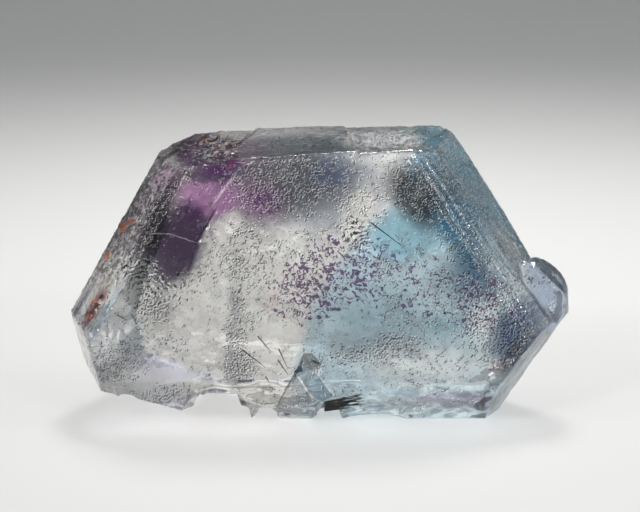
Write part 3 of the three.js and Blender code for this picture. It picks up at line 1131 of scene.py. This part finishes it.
def area_light(name, place, aim, size, power, beam, tint, reach, height=None):
    lamp = bpy.data.lights.new(name, "AREA")
    lamp.shape = "ELLIPSE"
    lamp.size = size
    lamp.size_y = height or size
    lamp.energy = power
    lamp.spread = math.radians(beam)
    lamp.color = tint
    piece = bpy.data.objects.new(name, lamp)
    piece.location = place
    piece.rotation_euler = (Vector(aim) - Vector(place)).to_track_quat("-Z", "Y").to_euler()
    piece.visible_camera = False
    bpy.context.scene.collection.objects.link(piece)
    if reach == PASSES:
        piece.light_linking.blocker_collection = specimen_alone(name + "_passes", "EXCLUDE")
    elif reach == SPECIMEN_ONLY:
        piece.light_linking.receiver_collection = specimen_alone(name + "_lights", "INCLUDE")


# Soft lamps: place and aim in metres, width, power in watts, beam angle in degrees, tint and
# what the light reaches: everything, the floor through the clear crystal too, or the specimen
# alone. A height makes the lamp an ellipse.
EVERYTHING, PASSES, SPECIMEN_ONLY = "everything", "passes", "specimen_only"
Lamp = namedtuple("Lamp", "name place aim size power beam tint reach height", defaults=(None,))
LAMPS = (
    Lamp("pool", (0.05, 0.42, 0.55), (0, 0.045, 0.0), 0.20, 0.14, 40,
         (1.0, 0.99, 0.98), PASSES),
    Lamp("pool_shade", (0.05, 0.42, 0.55), (0, 0.045, 0.0), 0.20, 0.09, 40,
         (1.0, 0.99, 0.98), EVERYTHING),
    Lamp("backdrop_glow", (0.0, 0.75, 0.45), (0, 1.4, 0.10), 0.20, 0.50, 55,
         (1.0, 1.0, 1.0), EVERYTHING),
    Lamp("back_card", (0, 0.048, 0.016), (0, 0, 0.014), 0.056, 0.0023, 180,
         (1.0, 1.0, 1.0), SPECIMEN_ONLY, 0.028),
    Lamp("front_left", (-0.42, -0.55, 0.50), (0, 0, 0.015), 0.12, 1.1, 180,
         (1.0, 0.98, 0.96), EVERYTHING),
    Lamp("front_right", (0.40, -0.60, 0.42), (0, 0, 0.015), 0.10, 0.8, 180,
         (0.97, 0.98, 1.0), EVERYTHING),
    Lamp("front_top", (0.05, -0.45, 0.70), (0, 0, 0.015), 0.10, 0.7, 180,
         (1.0, 1.0, 1.0), PASSES),
    Lamp("left_side", (-0.70, -0.25, 0.30), (0, 0, 0.015), 0.12, 0.8, 180,
         (1.0, 0.99, 0.97), EVERYTHING),
    Lamp("right_card", (0.55, 0.0, 0.18), (0, 0, 0.02), 0.50, 0.90, 180,
         (0.98, 0.99, 1.0), EVERYTHING),
    Lamp("upper_card", (0.42, -0.42, 0.60), (0, 0, 0.02), 0.40, 0.45, 180,
         (1.0, 1.0, 1.0), PASSES),
)


class FLUORITE_OT_stage(bpy.types.Operator):
    """Makes the floor, the studio light and the camera"""

    bl_idname = "fluorite.stage"
    bl_label = "Stage"

    def execute(self, context):
        scene = context.scene
        settings = scene.fluorite_stage
        bm = bmesh.new()
        bmesh.ops.create_grid(bm, x_segments=1, y_segments=1, size=settings.floor_size / 2)
        far_edge = [edge for edge in bm.edges if all(vert.co.y > 0 for vert in edge.verts)]
        raised = bmesh.ops.extrude_edge_only(bm, edges=far_edge)["geom"]
        lifted = [item for item in raised if isinstance(item, bmesh.types.BMVert)]
        bmesh.ops.translate(bm, verts=lifted, vec=(0, 0, settings.backdrop))
        floor = new_object("floor", mesh_from(bm, "floor"))
        paper = Finish("floor_paper")
        place = paper.node("ShaderNodeTexCoord").outputs["Object"]
        height = paper.node("ShaderNodeSeparateXYZ", {0: place}).outputs["Z"]
        wall = paper.step(height, *WALL_STARTS)
        shade = paper.mix(wall, linear(settings.floor), linear(settings.wall))
        paper.feed(paper.shader.inputs["Base Color"], shade)
        paper.shader.inputs["Roughness"].default_value = FLOOR_ROUGHNESS
        floor.data.materials.append(paper.material)

        world = bpy.data.worlds.new("surround")
        world.use_nodes = True
        glow = world.node_tree.nodes["Background"]
        glow.inputs["Color"].default_value = linear(settings.sky)
        glow.inputs["Strength"].default_value = settings.sky_strength
        scene.world = world
        for lamp in LAMPS:
            area_light(*lamp)

        camera = bpy.data.cameras.new("camera")
        camera.lens = settings.lens
        camera.clip_start = NEAREST_SEEN
        seat = bpy.data.objects.new("camera", camera)
        ahead = VIEW_FROM_FRAME.inverted().to_3x3() @ Vector((0, 1, 0))
        seat.location = Vector(settings.target) - ahead * settings.distance
        seat.rotation_euler = ahead.to_track_quat("-Z", "Y").to_euler()
        scene.collection.objects.link(seat)
        scene.camera = seat
        scene.view_settings.view_transform = "Standard"
        return {"FINISHED"}


# The sidebar panel and registration


class FLUORITE_PT_sidebar(bpy.types.Panel):
    """Lists the crystal's settings and operators"""

    bl_idname = "FLUORITE_PT_sidebar"
    bl_label = "Fluorite Crystal"
    bl_space_type = "VIEW_3D"
    bl_region_type = "UI"
    bl_category = "Fluorite"

    def draw(self, context):
        layout = self.layout
        for group in SETTINGS:
            settings = getattr(context.scene, group)
            for name in settings.bl_rna.properties.keys():
                if name not in ("rna_type", "name"):
                    layout.prop(settings, name)
        for operator in OPERATORS:
            layout.operator(operator.bl_idname)


SETTINGS = {
    "fluorite_shape": CrystalShape,
    "fluorite_finish": CrystalFinish,
    "fluorite_needles": NeedleFinish,
    "fluorite_stage": StageSettings,
}
OPERATORS = (
    FLUORITE_OT_crystal,
    FLUORITE_OT_needle_sheaf,
    FLUORITE_OT_inclusions,
    FLUORITE_OT_stage,
)
CLASSES = (*SETTINGS.values(), *OPERATORS, FLUORITE_PT_sidebar)


def register():
    for cls in CLASSES:
        bpy.utils.register_class(cls)
    for name, group in SETTINGS.items():
        setattr(bpy.types.Scene, name, PointerProperty(type=group))


def unregister():
    for name in SETTINGS:
        delattr(bpy.types.Scene, name)
    for cls in reversed(CLASSES):
        bpy.utils.unregister_class(cls)


def main():
    register()
    bpy.ops.fluorite.crystal()
    bpy.ops.fluorite.needle_sheaf()
    bpy.ops.fluorite.inclusions()
    bpy.ops.fluorite.stage()


if __name__ == "__main__":
    main()
